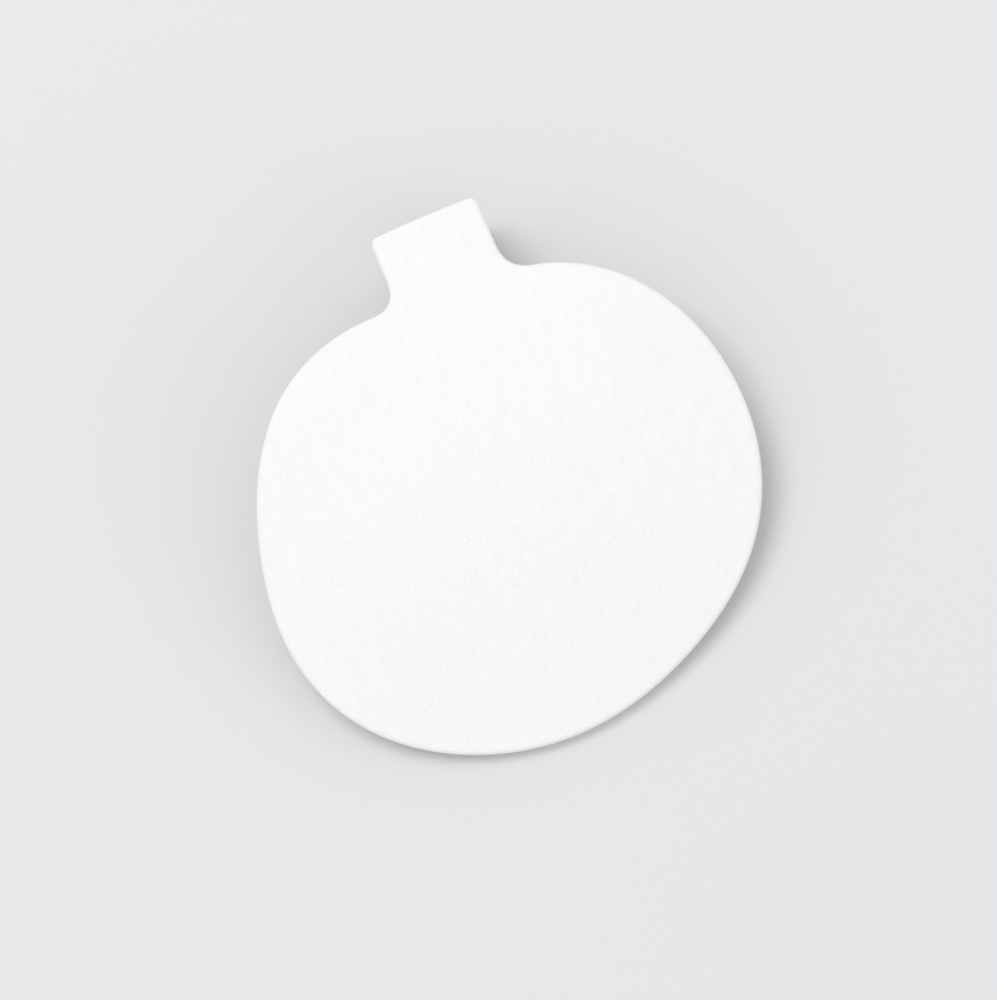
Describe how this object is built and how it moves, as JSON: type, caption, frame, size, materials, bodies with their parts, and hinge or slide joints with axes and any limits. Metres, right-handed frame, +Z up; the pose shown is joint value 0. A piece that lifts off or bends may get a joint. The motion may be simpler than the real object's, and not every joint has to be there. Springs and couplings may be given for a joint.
{
  "type": "ball of foot pad",
  "caption": "Oval padded cushion for the ball of the right foot, with a short neck and an elastic loop for the third toe, lying sole side up.",
  "frame": {"origin": "on the surface that the pad lies on, below the middle of its box", "axes": "+Z up, out of the sole side; +Y along the neck from the cushion to its front edge; +X to the right as the sole side shows it"},
  "size_m": [0.0868, 0.089, 0.0192],
  "materials": {
    "pad_cloth": "matt white cloth laminated to foam",
    "loop_elastic": "matt white ribbed elastic"
  },
  "bodies": {
    "root": {"ball_cushion": "pad_cloth", "toe_loop": "loop_elastic"}
  },
  "joints": []
}
